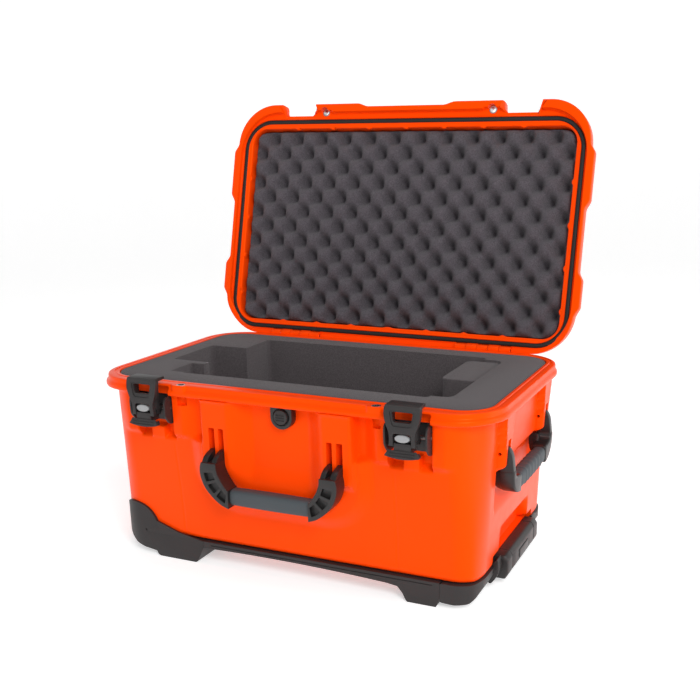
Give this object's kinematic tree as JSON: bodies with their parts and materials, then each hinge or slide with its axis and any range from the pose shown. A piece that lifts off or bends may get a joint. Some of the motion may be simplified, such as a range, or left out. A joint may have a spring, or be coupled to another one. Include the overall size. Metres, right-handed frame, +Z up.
{
  "type": "hard equipment case",
  "caption": "Wheeled hard case with a hinged foam-lined lid, draw latches, swing handles and a telescoping pull handle.",
  "frame": {"origin": "centre of the object's box in plan, with the lid open, at floor level", "axes": "+X along the case from the wheels to the pull handle, -Y to the latches and front handle, +Z up"},
  "size_m": [0.6206, 0.538, 0.6387],
  "materials": {
    "orange_shell": "satin moulded resin",
    "dark_plastic": "fine-textured glass-filled nylon",
    "black_plastic": "satin black nylon",
    "soft_grip": "matte soft-touch overmould",
    "base_foam": "closed-cell polyethylene foam",
    "lid_foam": "open-cell convoluted foam",
    "seal_rubber": "matte seal",
    "steel": "satin stainless",
    "button_grey": "light grey moulded plastic",
    "tyre_rubber": "matte tyre",
    "alloy": "satin anodised"
  },
  "bodies": {
    "base": {"base_shell": "orange_shell", "base_foam": "base_foam", "foam_divider": "base_foam", "valve_body": "black_plastic", "valve_cap": "dark_plastic", "base_eyelet_left": "steel", "base_eyelet_right": "steel", "hinge_pin_left": "steel", "hinge_pin_right": "steel", "latch_bracket_left": "dark_plastic", "latch_bracket_right": "dark_plastic", "latch_pin_left": "steel", "latch_pin_right": "steel", "front_handle_pin_left": "steel", "front_handle_pin_right": "steel", "left_handle_pin_front": "steel", "left_handle_pin_back": "steel", "right_handle_pin_front": "steel", "right_handle_pin_back": "steel", "wheel_housing_front": "dark_plastic", "wheel_housing_back": "dark_plastic", "bottom_rail_front": "dark_plastic", "bottom_rail_back": "dark_plastic", "end_bracket_front": "dark_plastic", "end_bracket_back": "dark_plastic", "wheel_axle_front": "steel", "wheel_axle_back": "steel", "pull_handle_channels": "black_plastic"},
    "lid": {"lid_shell": "orange_shell", "lid_gasket": "seal_rubber", "lid_foam": "lid_foam", "lid_eyelet_left": "steel", "lid_eyelet_right": "steel"},
    "latch_lever_left": {"latch_lever_left": "dark_plastic", "latch_claw_pin_left": "steel"},
    "latch_claw_left": {"latch_claw_left": "dark_plastic"},
    "latch_button_left": {"latch_button_left": "button_grey"},
    "latch_lever_right": {"latch_lever_right": "dark_plastic", "latch_claw_pin_right": "steel"},
    "latch_claw_right": {"latch_claw_right": "dark_plastic"},
    "latch_button_right": {"latch_button_right": "button_grey"},
    "front_handle": {"front_handle_frame": "black_plastic", "front_handle_grip": "soft_grip"},
    "left_handle": {"left_handle_frame": "black_plastic", "left_handle_grip": "soft_grip"},
    "right_handle": {"right_handle_frame": "black_plastic", "right_handle_grip": "soft_grip"},
    "wheel_front": {"wheel_tyre_front": "tyre_rubber", "wheel_hub_front": "dark_plastic", "wheel_bush_front": "steel"},
    "wheel_back": {"wheel_tyre_back": "tyre_rubber", "wheel_hub_back": "dark_plastic", "wheel_bush_back": "steel"},
    "pull_stage": {"pull_handle_outer_tubes": "alloy"},
    "pull_grip": {"pull_handle_inner_tube_front": "alloy", "pull_handle_inner_tube_back": "alloy", "pull_handle_grip": "dark_plastic"},
    "pull_button": {"pull_handle_button": "button_grey"}
  },
  "joints": [
    {"name": "lid_hinge", "type": "hinge", "parent": "base", "child": "lid", "pos_m": [0, 0.125, 0.267], "axis": [1, 0, 0], "range_deg": [0, 104.5]},
    {"name": "latch_lever_left_hinge", "type": "hinge", "parent": "base", "child": "latch_lever_left", "pos_m": [-0.19, -0.239, 0.233], "axis": [1, 0, 0], "range_deg": [-34, 9]},
    {"name": "latch_claw_left_hinge", "type": "hinge", "parent": "latch_lever_left", "child": "latch_claw_left", "pos_m": [-0.19, -0.249, 0.231], "axis": [1, 0, 0], "range_deg": [-13.5, 51]},
    {"name": "latch_button_left_press", "type": "slide", "parent": "latch_lever_left", "child": "latch_button_left", "axis": [0, 1, 0], "range_m": [0, 0.003], "stiffness_N_per_m": 300},
    {"name": "latch_lever_right_hinge", "type": "hinge", "parent": "base", "child": "latch_lever_right", "pos_m": [0.19, -0.239, 0.233], "axis": [1, 0, 0], "range_deg": [-34, 9]},
    {"name": "latch_claw_right_hinge", "type": "hinge", "parent": "latch_lever_right", "child": "latch_claw_right", "pos_m": [0.19, -0.249, 0.231], "axis": [1, 0, 0], "range_deg": [-13.5, 51]},
    {"name": "latch_button_right_press", "type": "slide", "parent": "latch_lever_right", "child": "latch_button_right", "axis": [0, 1, 0], "range_m": [0, 0.003], "stiffness_N_per_m": 300},
    {"name": "front_handle_swing", "type": "hinge", "parent": "base", "child": "front_handle", "pos_m": [0, -0.238, 0.177], "axis": [-1, 0, 0], "range_deg": [0, 90]},
    {"name": "left_handle_swing", "type": "hinge", "parent": "base", "child": "left_handle", "pos_m": [-0.286, -0.058, 0.198], "axis": [0, 1, 0], "range_deg": [0, 90]},
    {"name": "right_handle_swing", "type": "hinge", "parent": "base", "child": "right_handle", "pos_m": [0.286, -0.058, 0.198], "axis": [0, -1, 0], "range_deg": [0, 90]},
    {"name": "wheel_front_spin", "type": "hinge", "parent": "base", "child": "wheel_front", "pos_m": [-0.25, -0.182, 0.039], "axis": [0, 1, 0], "continuous": true},
    {"name": "wheel_back_spin", "type": "hinge", "parent": "base", "child": "wheel_back", "pos_m": [-0.25, 0.066, 0.039], "axis": [0, 1, 0], "continuous": true},
    {"name": "pull_handle_first_stage", "type": "slide", "parent": "base", "child": "pull_stage", "axis": [1, 0, 0], "range_m": [0, 0.38]},
    {"name": "pull_handle_second_stage", "type": "slide", "parent": "pull_stage", "child": "pull_grip", "axis": [1, 0, 0], "range_m": [0, 0.38]},
    {"name": "pull_handle_button_press", "type": "slide", "parent": "pull_grip", "child": "pull_button", "axis": [-1, 0, 0], "range_m": [0, 0.003], "stiffness_N_per_m": 500}
  ],
  "couplings": [
    {"joint": "latch_claw_left_hinge", "follows": "latch_lever_left_hinge", "ratio": -1.5},
    {"joint": "latch_claw_right_hinge", "follows": "latch_lever_right_hinge", "ratio": -1.5}
  ]
}
